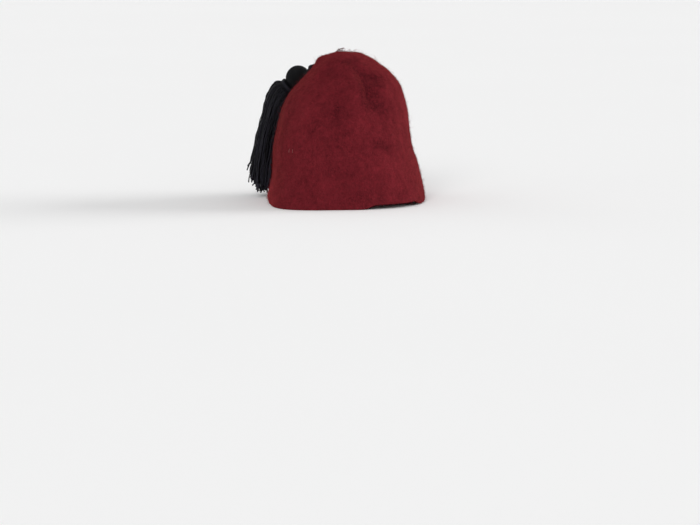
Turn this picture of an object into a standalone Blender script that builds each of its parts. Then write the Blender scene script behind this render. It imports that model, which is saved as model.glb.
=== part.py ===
"""A soft felt fez with a black thread tassel, standing on its rim.

The floor is at z = 0, the front of the hat faces -Y and the origin is the
middle of the rim. Sizes are in millimetres until a mesh is made, in metres.
Angles round the crown are in degrees, anticlockwise seen from above: 0 is the
right side, 90 the back, 180 the left side and 270 the front.
"""

import math
from collections import namedtuple

import bmesh
import bpy
import numpy as np
from mathutils import Vector
from mathutils.bvhtree import BVHTree

METRES = 0.001  # one millimetre
CLEARANCE = 0.35  # between pieces that touch on the real hat
CURVE_STEPS = 600  # steps in which the length of a smooth curve is measured

# Driving sizes of the crown
RIM_WIDTH = 166.0
RIM_DEPTH = 194.0
CROWN_HEIGHT = 157.5
FELT_THICKNESS = 3.0
CROWN_COLUMNS = 64
CROWN_RINGS = 22
FINER = 3  # the surface that pieces are laid on has this many times the rings and columns

# The crown's level sections, from the rim to the peak. up is a share of the
# height, left and right are shares of half the width, front and back shares of
# half the depth, all measured from the middle of the rim. A squareness of 2
# is an ellipse, and more is squarer: fore is at the front and aft at the back.
CrownSection = namedtuple("CrownSection", "up left right front back fore aft")
CROWN_SECTIONS = (
    CrownSection(0.000, 0.994, 1.000, 1.000, 1.000, 2.90, 2.20),
    CrownSection(0.045, 1.002, 0.992, 0.996, 0.990, 2.80, 2.20),
    CrownSection(0.180, 0.954, 0.942, 0.970, 0.968, 2.45, 2.15),
    CrownSection(0.340, 0.946, 0.848, 0.932, 0.938, 2.30, 2.15),
    CrownSection(0.480, 0.902, 0.802, 0.888, 0.894, 2.20, 2.10),
    CrownSection(0.620, 0.828, 0.776, 0.818, 0.806, 2.10, 2.05),
    CrownSection(0.725, 0.720, 0.728, 0.730, 0.686, 2.00, 2.00),
    CrownSection(0.805, 0.576, 0.660, 0.626, 0.550, 2.00, 2.00),
    CrownSection(0.885, 0.428, 0.490, 0.494, 0.396, 2.00, 2.00),
    CrownSection(0.955, 0.306, 0.290, 0.356, 0.232, 2.00, 2.00),
    CrownSection(0.992, 0.150, 0.170, 0.230, 0.060, 2.00, 2.00),
    CrownSection(1.000, 0.000, 0.000, 0.105, -0.105, 2.00, 2.00),
)

# How the cut edge of the felt departs from a level oval: lift is its height
# off the floor, push how far it stands out. Both fade up the wall.
HemPoint = namedtuple("HemPoint", "angle lift push")
HEM_POINTS = (
    HemPoint(0, 2.2, 0.0),
    HemPoint(16, 0.0, 0.0),
    HemPoint(205, 0.0, 0.0),
    HemPoint(232, 0.0, 5.0),
    HemPoint(262, 0.0, 0.0),
    HemPoint(279, 0.0, 0.0),
    HemPoint(289, 4.9, 0.0),
    HemPoint(317, 4.9, 0.0),
    HemPoint(327, 0.8, 0.0),
    HemPoint(340, 0.8, 0.0),
    HemPoint(360, 2.2, 0.0),
)
HEM_FADE = 34.0

# Dents pushed into the wall, and swells where the depth is negative. climb is
# measured up the felt from the rim, length and width are half sizes, lean
# turns the dent clockwise, and steep is the half width of its left flank.
Dent = namedtuple("Dent", "angle climb length width steep lean depth")
DENTS = (
    Dent(284, 136, 26, 22, 5, 14, 4.5),
    Dent(266, 108, 16, 11, 11, 0, 1.4),
    Dent(292, 61, 7, 22, 22, -4, 1.6),
    Dent(296, 36, 15, 24, 24, 0, -1.4),
    Dent(60, 70, 40, 30, 30, 20, 2.5),
)
EDGE_HELD = 12.0  # no dent reaches the lowest felt in full

# The thread-covered button that anchors the cord, sewn to the top of the crown
BUTTON_RIGHT = -1.0
BUTTON_BACK = 22.5
BUTTON_RADIUS = 5.5
BUTTON_HEIGHT = 4.4
BUTTON_FOOT = 0.92  # the radius of its flat foot, as a share of its own
BUTTON_EDGE = 0.35  # how high its widest place is, as a share of its height
BUTTON_SIDES = 20
BUTTON_RINGS = 5

# The cord lies on the felt beside the button and then runs straight to the
# tassel's head, whose weight draws it off the slope of the crown. over is the
# height of its middle line above the felt below it.
CORD_DIAMETER = 4.6
CORD_POINT_SPACING = 9.5
CordPoint = namedtuple("CordPoint", "right back over")
CORD_ROUTE = (
    CordPoint(-13.5, 29.6, 3.6),
    CordPoint(-23.5, 35.0, 8.6),
    CordPoint(-33.8, 41.0, 16.6),
)

# The tassel's head is a thread-wrapped ball that lies on the back of the left
# shoulder, and its neck is bound just below the ball.
HEAD_RADIUS = 13.4
HEAD_MIDDLE = (-50.2, 48.2, 126.6)
NECK_MIDDLE = (-59.8, 51.0, 117.0)
NECK_RADIUS = 8.6
HEAD_RINGS = 9
BINDING_WIDTH = 4.6
BINDING_THICKNESS = 2.2
BINDING_SIDES = 28
BINDING_ARC_POINTS = 6

# The skirt of threads, from the neck to the cut ends: the middle of each
# section, its half sizes along the wall and out from it, and how deep the
# grooves between its locks are, as a share of those.
SkirtSection = namedtuple("SkirtSection", "right back up across out groove")
SKIRT_SECTIONS = (
    SkirtSection(-62.2, 51.7, 114.6, 9.0, 9.0, 0.00),
    SkirtSection(-64.4, 52.1, 112.3, 11.3, 11.3, 0.03),
    SkirtSection(-67.9, 52.1, 108.4, 12.9, 12.6, 0.06),
    SkirtSection(-73.1, 51.4, 100.6, 13.8, 12.9, 0.09),
    SkirtSection(-78.8, 49.8, 86.0, 14.4, 12.7, 0.12),
    SkirtSection(-85.2, 48.0, 64.0, 15.0, 12.7, 0.14),
    SkirtSection(-89.0, 47.0, 40.0, 16.0, 12.9, 0.18),
    SkirtSection(-90.4, 46.6, 22.0, 16.8, 13.0, 0.24),
    SkirtSection(-90.4, 46.6, 13.0, 16.4, 12.4, 0.34),
)
SKIRT_FACING = 160.0  # the angle round the crown that its outer side faces
SKIRT_RINGS = 22
LOCKS = 11
COLUMNS_PER_LOCK = 6
END_SLANT = 5.5  # the outer threads are cut this much higher than the middle
END_STEPS = (0.0, 3.4, -1.2, 2.0, -2.6, 1.0, 3.0, -0.8, 2.4, -1.8, 1.4)  # one for each lock
END_HOLLOW = 7.0


def spline(values, at):
    """A Catmull-Rom curve through values, read at positions counted in rows."""
    values = np.asarray(values, float)
    last = len(values) - 1
    row = np.clip(np.floor(at).astype(int), 0, last - 1)
    before, here, after, beyond = (
        values[np.clip(row + step, 0, last)] for step in (-1, 0, 1, 2)
    )
    share = at - row
    leave = (after - before) / 2
    arrive = (beyond - here) / 2
    bend = 2 * (here - after) + leave + arrive
    return here + share * (leave + share * (3 * (after - here) - 2 * leave - arrive + share * bend))


def crown_profile(at):
    """The sizes of the crown's sections at positions counted in table rows."""
    table = np.array(CROWN_SECTIONS, float)
    past_peak = table[-2].copy()
    past_peak[1:5] = -table[-2][[2, 1, 4, 3]]
    table = np.vstack([table, past_peak])
    up, left, right, front, back, fore, aft = (spline(column, at) for column in table.T)
    return (
        up * CROWN_HEIGHT,
        left * RIM_WIDTH / 2,
        right * RIM_WIDTH / 2,
        front * RIM_DEPTH / 2,
        back * RIM_DEPTH / 2,
        fore,
        aft,
    )


def even_rows(rings):
    """Table positions of rings that lie evenly spaced up the felt."""
    fine = np.linspace(0, len(CROWN_SECTIONS) - 1, CURVE_STEPS)
    up, left, right, front, back, _, _ = crown_profile(fine)
    reach = (left + right + front + back) / 4
    walked = np.concatenate([[0], np.cumsum(np.hypot(np.diff(up), np.diff(reach)))])
    return np.interp(np.linspace(0, walked[-1], rings + 1), walked, fine)


def hem_at(angles):
    """The edge's lift and push at angles in degrees, eased between the table's points."""
    table = np.array(HEM_POINTS, float)
    row = np.clip(np.searchsorted(table[:, 0], angles, side="right") - 1, 0, len(table) - 2)
    share = (angles - table[row, 0]) / (table[row + 1, 0] - table[row, 0])
    eased = share * share * (3 - 2 * share)
    return tuple(
        table[row, column] + eased * (table[row + 1, column] - table[row, column])
        for column in (1, 2)
    )


def outward(points):
    """Unit normals of a grid of rings, pointing out of the crown."""
    along = np.gradient(points, axis=0)
    around = np.roll(points, -1, axis=1) - np.roll(points, 1, axis=1)
    normals = np.cross(around, along)
    normals[-1] = (0, 0, 1)
    return normals / np.linalg.norm(normals, axis=2, keepdims=True)


def dent_depth(points, angles):
    """How deep the dents push each point of the grid."""
    steps = np.linalg.norm(np.diff(points, axis=0), axis=2)
    climb = np.concatenate([np.zeros((1, points.shape[1])), np.cumsum(steps, axis=0)])
    reach = np.hypot(points[..., 0], points[..., 1])
    depth = np.zeros(climb.shape)
    for dent in DENTS:
        turn = np.radians((angles - dent.angle + 180) % 360 - 180)
        right, high = reach * turn, climb - dent.climb
        lean = math.radians(dent.lean)
        across = right * math.cos(lean) + high * math.sin(lean)
        along = high * math.cos(lean) - right * math.sin(lean)
        flank = np.where(across < 0, dent.steep, dent.width)
        depth += dent.depth * np.exp(-((across / flank) ** 2) - (along / dent.length) ** 2)
    return depth * np.clip(climb / EDGE_HELD, 0, 1)


def crown_outside(columns, rings):
    """The outer face of the felt as a grid of rings, from the rim to the peak."""
    up, left, right, front, back, fore, aft = (
        column[:, None] for column in crown_profile(even_rows(rings))
    )
    angles = np.arange(columns) * 360.0 / columns
    turn = np.radians(angles)[None, :]
    half_width, half_depth = (left + right) / 2, (front + back) / 2
    squareness = aft + (fore - aft) * (1 - np.sin(turn)) / 2
    shape = np.abs(np.cos(turn)) ** squareness * np.maximum(half_depth, 1e-6) ** squareness
    shape = shape + np.abs(np.sin(turn)) ** squareness * np.maximum(half_width, 1e-6) ** squareness
    reach = half_width * half_depth / shape ** (1 / squareness)
    lift, push = hem_at(angles)
    fade = np.clip(1 - up / HEM_FADE, 0, 1) ** 2
    reach = reach + push * fade
    points = np.stack(
        [
            (right - left) / 2 + reach * np.cos(turn),
            (back - front) / 2 + reach * np.sin(turn),
            up + lift * fade,
        ],
        axis=2,
    )
    return points - outward(points) * dent_depth(points, angles)[..., None]


def closed_shell(columns, rings):
    """Vertices and faces of the felt: its outer face, its inner face and the cut edge."""
    outer = crown_outside(columns, rings)
    normals = outward(outer)
    normals[0, :, 2] = 0
    normals[0] /= np.linalg.norm(normals[0], axis=1, keepdims=True)
    inner = outer - normals * FELT_THICKNESS
    layers = np.concatenate([outer[:-1].reshape(-1, 3), inner[:-1].reshape(-1, 3)])
    peaks = np.stack([outer[-1, 0], inner[-1, 0]])
    index = np.arange(2 * rings * columns).reshape(2, rings, columns)
    turned = np.roll(index, -1, axis=2)
    faces = []
    for ring in range(rings - 1):
        for column in range(columns):
            here, beside = index[:, ring, column], turned[:, ring, column]
            above, beyond = index[:, ring + 1, column], turned[:, ring + 1, column]
            faces.append((here[0], beside[0], beyond[0], above[0]))
            faces.append((here[1], above[1], beyond[1], beside[1]))
    peak = 2 * rings * columns
    for column in range(columns):
        last, beside = index[:, -1, column], turned[:, -1, column]
        first, along = index[:, 0, column], turned[:, 0, column]
        faces.append((last[0], beside[0], peak))
        faces.append((beside[1], last[1], peak + 1))
        faces.append((first[0], first[1], along[1], along[0]))
    return np.concatenate([layers, peaks]), faces


def felt_surface():
    """The outer face of the felt, for laying the cord and the tassel on."""
    points = crown_outside(FINER * CROWN_COLUMNS, FINER * CROWN_RINGS)
    rings, columns = points.shape[:2]
    index = np.arange(rings * columns).reshape(rings, columns)
    turned = np.roll(index, -1, axis=1)
    faces = [
        (index[ring, column], turned[ring, column], turned[ring + 1, column], index[ring + 1, column])
        for ring in range(rings - 1)
        for column in range(columns)
    ]
    return BVHTree.FromPolygons([tuple(point) for point in points.reshape(-1, 3)], faces)


def on_top(felt, right, back, height):
    """The point at a height off the felt, above a point of the floor, and the felt's normal."""
    place, normal, _, _ = felt.ray_cast(Vector((right, back, 2 * CROWN_HEIGHT)), Vector((0, 0, -1)))
    return place + normal * height, normal


def kept_off(felt, points):
    """The points, with those nearer to the felt than the clearance moved out to it."""
    moved = []
    for point in points:
        place, normal, _, _ = felt.find_nearest(Vector(point))
        near = (Vector(point) - place).dot(normal) < CLEARANCE
        moved.append(place + normal * CLEARANCE if near else Vector(point))
    return moved


def unit(vector):
    return np.asarray(vector, float) / np.linalg.norm(vector)


def head_axis():
    """The direction from the tassel's head to its neck."""
    return unit(np.subtract(NECK_MIDDLE, HEAD_MIDDLE))


def tassel_sections():
    """Middle, half sizes and groove depth of each ring of the tassel, head first."""
    axis = head_axis()
    last_turn = math.pi - math.asin(NECK_RADIUS / HEAD_RADIUS)
    rows = []
    for turn in np.linspace(0, last_turn, HEAD_RINGS + 1)[1:]:
        middle = np.array(HEAD_MIDDLE) - axis * HEAD_RADIUS * math.cos(turn)
        radius = HEAD_RADIUS * math.sin(turn)
        rows.append((*middle, radius, radius, 0.0))
    for share in (-0.5, 0.5):
        middle = np.array(NECK_MIDDLE) + axis * BINDING_WIDTH * share
        rows.append((*middle, NECK_RADIUS, NECK_RADIUS, 0.0))
    table = np.array(SKIRT_SECTIONS, float)
    at = np.linspace(0, len(table) - 1, SKIRT_RINGS)
    skirt = np.stack([spline(column, at) for column in table.T], axis=1)
    return np.concatenate([rows, skirt])


def tassel_rings():
    """The tassel's surface as a grid of rings from the head's top to the locks' cut ends."""
    sections = tassel_sections()
    middles = sections[:, :3]
    down = np.gradient(middles, axis=0)
    down /= np.linalg.norm(down, axis=1, keepdims=True)
    facing = math.radians(SKIRT_FACING)
    away = np.array([math.cos(facing), math.sin(facing), 0])
    along_wall = np.cross(down, away)
    along_wall /= np.linalg.norm(along_wall, axis=1, keepdims=True)
    out = np.cross(along_wall, down)
    phase = np.arange(LOCKS * COLUMNS_PER_LOCK) / COLUMNS_PER_LOCK
    turn = 2 * np.pi * phase / LOCKS
    crest = np.abs(np.sin(np.pi * phase))
    across, depth, groove = (sections[:, column, None] for column in (3, 4, 5))
    lobe = 1 - groove * (1 - crest)
    points = (
        middles[:, None]
        + along_wall[:, None] * (across * lobe * np.cos(turn))[..., None]
        + out[:, None] * (depth * lobe * np.sin(turn))[..., None]
    )
    drop = np.array(END_STEPS)[np.floor(phase).astype(int)] * crest - END_SLANT * np.sin(turn)
    settled = np.clip((middles[:, 2] - middles[-1, 2]) / middles[-1, 2], 0, 1)
    points[..., 2] -= drop * ((1 - settled) ** 2)[:, None] * (sections[:, 5] > 0)[:, None]
    return points


def tube_faces(rings, columns, first_pole, last_pole):
    """Faces of a closed tube whose vertices are rings, then its two poles."""
    index = np.arange(rings * columns).reshape(rings, columns)
    turned = np.roll(index, -1, axis=1)
    faces = [
        (index[ring, column], index[ring + 1, column], turned[ring + 1, column], turned[ring, column])
        for ring in range(rings - 1)
        for column in range(columns)
    ]
    faces += [(turned[0, column], first_pole, index[0, column]) for column in range(columns)]
    faces += [(index[-1, column], last_pole, turned[-1, column]) for column in range(columns)]
    return faces


def finish_material(name, colour, roughness):
    material = bpy.data.materials.new(name)
    material.use_nodes = True
    shader = material.node_tree.nodes["Principled BSDF"]
    shader.inputs["Base Color"].default_value = (*colour, 1)
    shader.inputs["Roughness"].default_value = roughness
    shader.inputs["Metallic"].default_value = 0
    return material


def add_object(name, data, material):
    piece = bpy.data.objects.new(name, data)
    data.materials.append(material)
    bpy.context.scene.collection.objects.link(piece)
    return piece


def add_solid(name, points, faces, material, smooth_below):
    """A mesh object from points in millimetres, with its faces turned outwards."""
    mesh = bpy.data.meshes.new(name)
    places = [tuple(METRES * coordinate for coordinate in point) for point in points]
    mesh.from_pydata(places, [], [tuple(int(corner) for corner in face) for face in faces])
    shape = bmesh.new()
    shape.from_mesh(mesh)
    bmesh.ops.recalc_face_normals(shape, faces=shape.faces)
    shape.to_mesh(mesh)
    shape.free()
    mesh.shade_smooth()
    mesh.set_sharp_from_angle(angle=math.radians(smooth_below))
    return add_object(name, mesh, material)


def add_crown(material):
    points, faces = closed_shell(CROWN_COLUMNS, CROWN_RINGS)
    return add_solid("crown", points, faces, material, 50)


def add_top_button(felt, material):
    """A low dome over a narrower foot, turned round the felt's normal."""
    base, normal = on_top(felt, BUTTON_RIGHT, BUTTON_BACK, CLEARANCE)
    side = normal.orthogonal().normalized()
    other = normal.cross(side)
    profile = [(BUTTON_RADIUS * BUTTON_FOOT, 0.0)]
    for turn in np.linspace(0, math.pi / 2, BUTTON_RINGS, endpoint=False):
        height = BUTTON_EDGE + (1 - BUTTON_EDGE) * math.sin(turn)
        profile.append((BUTTON_RADIUS * math.sqrt(math.cos(turn)), BUTTON_HEIGHT * height))
    points = []
    for reach, height in profile:
        for step in range(BUTTON_SIDES):
            turn = 2 * math.pi * step / BUTTON_SIDES
            spoke = side * math.cos(turn) + other * math.sin(turn)
            points.append(base + spoke * reach + normal * height)
    rings = len(profile)
    points += [base, base + normal * BUTTON_HEIGHT]
    faces = tube_faces(rings, BUTTON_SIDES, rings * BUTTON_SIDES, rings * BUTTON_SIDES + 1)
    return add_solid("top_button", points, faces, material, 40)


def cord_route(felt):
    """Points of the cord's middle line: out of the button's side, over the felt, to the head."""
    button = np.array([BUTTON_RIGHT, BUTTON_BACK])
    leaving = unit(np.array(CORD_ROUTE[0][:2]) - button)
    beside = button + leaving * (BUTTON_RADIUS + 2 * CLEARANCE)
    start, _ = on_top(felt, *beside, CORD_DIAMETER / 2 + CLEARANCE)
    laid = [
        on_top(felt, point.right, point.back, 0)[0] + Vector((0, 0, point.over)) for point in CORD_ROUTE
    ]
    aim = (Vector(HEAD_MIDDLE) - laid[-1]).normalized()
    end = Vector(HEAD_MIDDLE) - aim * (HEAD_RADIUS + 1.5 * CLEARANCE)
    guides = np.array([start, *laid, end])
    at = np.linspace(0, len(guides) - 1, CURVE_STEPS)
    fine = np.stack([spline(column, at) for column in guides.T], axis=1)
    walked = np.concatenate([[0], np.cumsum(np.linalg.norm(np.diff(fine, axis=0), axis=1))])
    count = round(walked[-1] / CORD_POINT_SPACING) + 1
    even = np.linspace(0, walked[-1], count)
    return np.stack([np.interp(even, walked, column) for column in fine.T], axis=1)


def add_tassel_cord(felt, material):
    curve = bpy.data.curves.new("tassel_cord", "CURVE")
    curve.dimensions = "3D"
    curve.bevel_depth = METRES * CORD_DIAMETER / 2
    curve.bevel_resolution = 3
    curve.use_fill_caps = True
    route = cord_route(felt)
    line = curve.splines.new("POLY")
    line.points.add(len(route) - 1)
    for point, place in zip(line.points, route):
        point.co = (*(METRES * place), 1)
    return add_object("tassel_cord", curve, material)


def add_tassel(felt, material):
    """Head, neck and locks as one tube that is closed at the top and hollow at the cut ends."""
    rings = tassel_rings()
    count, columns = rings.shape[:2]
    top = np.array(HEAD_MIDDLE) - head_axis() * HEAD_RADIUS
    foot = rings[-1].mean(axis=0) + (0, 0, END_HOLLOW)
    points = kept_off(felt, [*rings.reshape(-1, 3), top, foot])
    faces = tube_faces(count, columns, count * columns, count * columns + 1)
    return add_solid("tassel", points, faces, material, 60)


def add_neck_binding(material):
    """A rounded ring round the neck."""
    axis = head_axis()
    side = unit(np.cross(axis, (0, 0, 1)))
    other = np.cross(axis, side)
    inner = NECK_RADIUS + CLEARANCE
    half_width = BINDING_WIDTH / 2 - CLEARANCE
    section = [(inner, half_width)]
    for turn in np.linspace(0, math.pi, BINDING_ARC_POINTS + 2)[1:-1]:
        height = BINDING_THICKNESS * math.sqrt(math.sin(turn))
        section.append((inner + height, half_width * math.cos(turn)))
    section.append((inner, -half_width))
    corners = len(section)
    points = []
    for step in range(BINDING_SIDES):
        turn = 2 * math.pi * step / BINDING_SIDES
        spoke = side * math.cos(turn) + other * math.sin(turn)
        points += [np.array(NECK_MIDDLE) + spoke * reach + axis * along for reach, along in section]
    index = np.arange(BINDING_SIDES * corners).reshape(BINDING_SIDES, corners)
    over, on = np.roll(index, -1, axis=0), np.roll(index, -1, axis=1)
    both = np.roll(over, -1, axis=1)
    faces = [
        (index[step, corner], over[step, corner], both[step, corner], on[step, corner])
        for step in range(BINDING_SIDES)
        for corner in range(corners)
    ]
    return add_solid("neck_binding", points, faces, material, 40)


def main():
    for old in list(bpy.data.objects):
        bpy.data.objects.remove(old, do_unlink=True)
    felt = felt_surface()
    add_crown(finish_material("crimson felt", (0.155, 0.016, 0.022), 0.95))
    add_top_button(felt, finish_material("button thread", (0.010, 0.010, 0.014), 0.60))
    add_tassel_cord(felt, finish_material("twisted cord", (0.012, 0.012, 0.016), 0.55))
    add_tassel(felt, finish_material("tassel thread", (0.009, 0.009, 0.012), 0.55))
    add_neck_binding(finish_material("binding thread", (0.011, 0.011, 0.015), 0.55))


main()
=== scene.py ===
"""A soft crimson felt fez with a black thread tassel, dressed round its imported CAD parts.

Sizes are in millimetres until a mesh is made. The floor is at z = 0 and the
front of the hat faces -Y. Angles round the crown are in degrees, anticlockwise
seen from above: 0 is the right side, 90 the back, 180 the left, 270 the front.
"""

import math
from collections import namedtuple

import bpy
import numpy as np
from mathutils import Matrix, Vector


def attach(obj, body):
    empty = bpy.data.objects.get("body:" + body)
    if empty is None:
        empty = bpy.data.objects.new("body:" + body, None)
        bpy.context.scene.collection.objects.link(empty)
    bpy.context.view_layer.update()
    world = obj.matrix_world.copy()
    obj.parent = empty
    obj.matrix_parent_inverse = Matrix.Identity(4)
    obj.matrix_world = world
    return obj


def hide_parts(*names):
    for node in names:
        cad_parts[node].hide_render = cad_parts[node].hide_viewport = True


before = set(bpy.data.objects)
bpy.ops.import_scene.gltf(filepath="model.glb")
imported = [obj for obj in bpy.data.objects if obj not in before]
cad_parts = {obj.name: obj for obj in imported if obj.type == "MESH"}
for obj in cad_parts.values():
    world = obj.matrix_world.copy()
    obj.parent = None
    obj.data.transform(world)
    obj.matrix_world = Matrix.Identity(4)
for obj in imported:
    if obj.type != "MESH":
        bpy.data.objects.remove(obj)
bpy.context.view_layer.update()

# The crown
# One piece of crimson wool felt, wetted, fulled and blocked over a round head
# block, 3 mm thick. Wear has pushed its dents in, and the edge is simply cut.
METRES = 0.001  # one millimetre
RIM_WIDTH = 166.0
RIM_DEPTH = 194.0
CROWN_HEIGHT = 157.5
FELT_THICKNESS = 3.0
CROWN_COLUMNS = 336
OUTER_RINGS = 176
INNER_RINGS = 66
EDGE_RINGS = 9
EDGE_ROUNDING = 1.0
CURVE_STEPS = 600  # steps in which the length of a smooth curve is measured

# The crown's level sections, from the rim to the peak. up is a share of the
# height, left and right are shares of half the width, front and back shares of
# half the depth, all measured from the middle of the rim. A squareness of 2
# is an ellipse, and more is squarer: fore is at the front and aft at the back.
CrownSection = namedtuple("CrownSection", "up left right front back fore aft")
CROWN_SECTIONS = (
    CrownSection(0.000, 0.994, 1.000, 1.000, 1.000, 2.90, 2.20),
    CrownSection(0.045, 1.002, 0.992, 0.996, 0.990, 2.80, 2.20),
    CrownSection(0.180, 0.954, 0.942, 0.970, 0.968, 2.45, 2.15),
    CrownSection(0.340, 0.946, 0.848, 0.932, 0.938, 2.30, 2.15),
    CrownSection(0.480, 0.902, 0.802, 0.888, 0.894, 2.20, 2.10),
    CrownSection(0.620, 0.828, 0.776, 0.818, 0.806, 2.10, 2.05),
    CrownSection(0.725, 0.720, 0.728, 0.730, 0.686, 2.00, 2.00),
    CrownSection(0.805, 0.576, 0.660, 0.626, 0.550, 2.00, 2.00),
    CrownSection(0.885, 0.428, 0.490, 0.494, 0.396, 2.00, 2.00),
    CrownSection(0.955, 0.306, 0.290, 0.356, 0.232, 2.00, 2.00),
    CrownSection(0.992, 0.150, 0.170, 0.230, 0.060, 2.00, 2.00),
    CrownSection(1.000, 0.000, 0.000, 0.105, -0.105, 2.00, 2.00),
)

# How the cut edge departs from a level oval: lift is its height off the floor,
# push how far it stands out. Both fade up the wall.
HemPoint = namedtuple("HemPoint", "angle lift push")
HEM_POINTS = (
    HemPoint(0, 2.2, 0.0),
    HemPoint(16, 0.0, 0.0),
    HemPoint(205, 0.0, 0.0),
    HemPoint(232, 0.0, 5.0),
    HemPoint(262, 0.0, 0.0),
    HemPoint(279, 0.0, 0.0),
    HemPoint(289, 4.9, 0.0),
    HemPoint(317, 4.9, 0.0),
    HemPoint(327, 0.8, 0.0),
    HemPoint(340, 0.8, 0.0),
    HemPoint(360, 2.2, 0.0),
)
HEM_FADE = 34.0

# Dents pushed into the wall, and swells where the depth is negative. climb is
# measured up the felt from the rim, length and width are half sizes, lean
# turns the dent clockwise, and steep is the half width of its left flank.
Dent = namedtuple("Dent", "angle climb length width steep lean depth")
DENTS = (
    Dent(289, 134, 25, 21, 6.5, 9, 4.2),
    Dent(291, 115, 16, 8, 5, 12, 2.3),
    Dent(305, 136, 9, 6, 4, 60, 1.8),
    Dent(312, 117, 9, 9, 8, 20, -1.4),
    Dent(277, 126, 20, 8, 8, 10, -0.6),
    Dent(265, 106, 14, 10, 10, 0, 1.5),
    Dent(296, 60, 7, 20, 20, -4, 1.9),
    Dent(299, 36, 14, 21, 21, 0, -1.8),
    Dent(60, 70, 40, 30, 30, 20, 2.5),
    Dent(354, 162, 12, 16, 16, 0, -2.2),
    Dent(352, 179, 5, 8, 8, 0, -0.9),
    Dent(2, 145, 10, 14, 14, 0, -0.9),
    Dent(177, 167, 9, 12, 12, 0, -1.8),
    Dent(190, 168, 7, 8, 8, 0, -1.1),
    Dent(357, 84, 15, 20, 20, 0, -1.3),
    Dent(355, 40, 10, 20, 20, 0, -1.0),
    Dent(190, 75, 55, 40, 40, 0, 2.2),
)
EDGE_HELD = 12.0  # no dent reaches the lowest felt in full

# Painted shade and painted light on the felt and its nap: darker in the crease, in
# the dents and along the left edge beside the tassel, paler on two swells and at
# the lower left corner, with patches of darker or paler tone besides. A depth
# below 0 paints it paler. The nap also lies flatter where it is darker. The
# columns are those of the dents.
PAINTED_SHADE_AND_WEAR = (
    # painted shade along the crease and in the dents beside it
    Dent(286.6, 127, 22, 6, 4.2, 8, 1.8),
    Dent(295, 144, 5, 4, 4, 0, 1.0),
    Dent(304, 138, 7, 10, 8, 8, 0.75),
    Dent(294, 114, 6, 4.5, 4, 0, 0.5),
    Dent(299, 103, 8, 9, 7, 35, 0.65),
    Dent(299, 126, 22, 18, 8, 10, 0.4),
    Dent(309, 95, 9, 15, 15, 0, 0.20),
    Dent(265, 102, 8, 6, 6, 0, 0.25),
    Dent(266, 98, 17, 13, 13, 0, 0.38),
    Dent(266, 127, 8, 6, 6, 0, 0.30),
    Dent(299, 60, 7, 19, 19, -6, 0.45),
    Dent(249, 81, 7, 4, 4, 0, 0.35),
    Dent(263, 39, 6, 9, 9, 0, 0.35),
    Dent(279, 168, 7, 14, 14, 0, 0.50),
    Dent(292, 162, 8, 16, 16, 0, 0.20),
    Dent(243, 156, 7, 7, 7, 0, 0.45),
    Dent(260, 145, 12, 14, 14, 0, 0.20),
    # painted shade on the wall beside the tassel
    Dent(219, 84, 24, 10, 10, 0, 0.40),
    Dent(282, 12, 9, 5, 5, 30, 0.25),
    Dent(300, 38, 12, 17, 17, 0, -0.35),
    Dent(303, 20, 5, 9, 9, 0, -0.25),
    Dent(311, 117, 7, 8, 8, 20, -0.45),
    Dent(241, 102, 10, 8, 8, 0, -0.30),
    Dent(240, 78, 12, 6, 6, 0, -0.20),
    Dent(283, 87, 12, 12, 12, 0, -0.20),
    Dent(256, 24, 8, 10, 10, 0, -0.20),
    # painted light on the lower left corner
    Dent(198, 7, 13, 26, 26, 0, -1.80),
    Dent(340, 26, 18, 16, 16, 0, -0.35),
    # painted shade that dulls the edge light on the left rim
    Dent(190, 84, 38, 18, 18, 0, 0.80),
    Dent(343, 92, 22, 9, 9, 0, -0.60),
    Dent(35, 96, 30, 9, 9, -20, 0.45),
    Dent(110, 60, 26, 14, 14, 12, 0.35),
    Dent(150, 34, 18, 26, 26, 0, -0.35),
    Dent(75, 128, 16, 22, 22, 30, -0.30),
)

# The felt's uneven surface: how far apart its swells are, and how high
Swell = namedtuple("Swell", "apart high seed")
FELT_SWELLS = (Swell(26.0, 0.34, 11), Swell(9.0, 0.16, 12), Swell(4.2, 0.10, 13))
SWELL_WAVES = 28
SWELL_FREE = (8, 6)  # the rings over which it grows from the edge, and fades at the peak
EDGE_EASED = 6.0  # how high above the cut edge the felt makes room for its rounding


def unit(vectors):
    """Vectors brought to a length of 1."""
    return vectors / np.linalg.norm(vectors, axis=-1, keepdims=True)


def spline(values, at):
    """A Catmull-Rom curve through values, read at positions counted in rows."""
    values = np.asarray(values, float)
    last = len(values) - 1
    row = np.clip(np.floor(at).astype(int), 0, last - 1)
    before, here, after, beyond = (
        values[np.clip(row + step, 0, last)] for step in (-1, 0, 1, 2)
    )
    share = at - row
    leave = (after - before) / 2
    arrive = (beyond - here) / 2
    bend = 2 * (here - after) + leave + arrive
    return here + share * (leave + share * (3 * (after - here) - 2 * leave - arrive + share * bend))


def crown_profile(at):
    """The sizes of the crown's sections at positions counted in table rows."""
    table = np.array(CROWN_SECTIONS, float)
    past_peak = table[-2].copy()
    past_peak[1:5] = -table[-2][[2, 1, 4, 3]]
    table = np.vstack([table, past_peak])
    width, depth = RIM_WIDTH / 2, RIM_DEPTH / 2
    sizes = (CROWN_HEIGHT, width, width, depth, depth, 1, 1)
    return [size * spline(column, at) for size, column in zip(sizes, table.T)]


def even_rows(rings):
    """Table positions of rings that lie evenly spaced up the felt."""
    fine = np.linspace(0, len(CROWN_SECTIONS) - 1, CURVE_STEPS)
    up, left, right, front, back, _, _ = crown_profile(fine)
    reach = (left + right + front + back) / 4
    walked = np.concatenate([[0], np.cumsum(np.hypot(np.diff(up), np.diff(reach)))])
    return np.interp(np.linspace(0, walked[-1], rings + 1), walked, fine)


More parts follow.
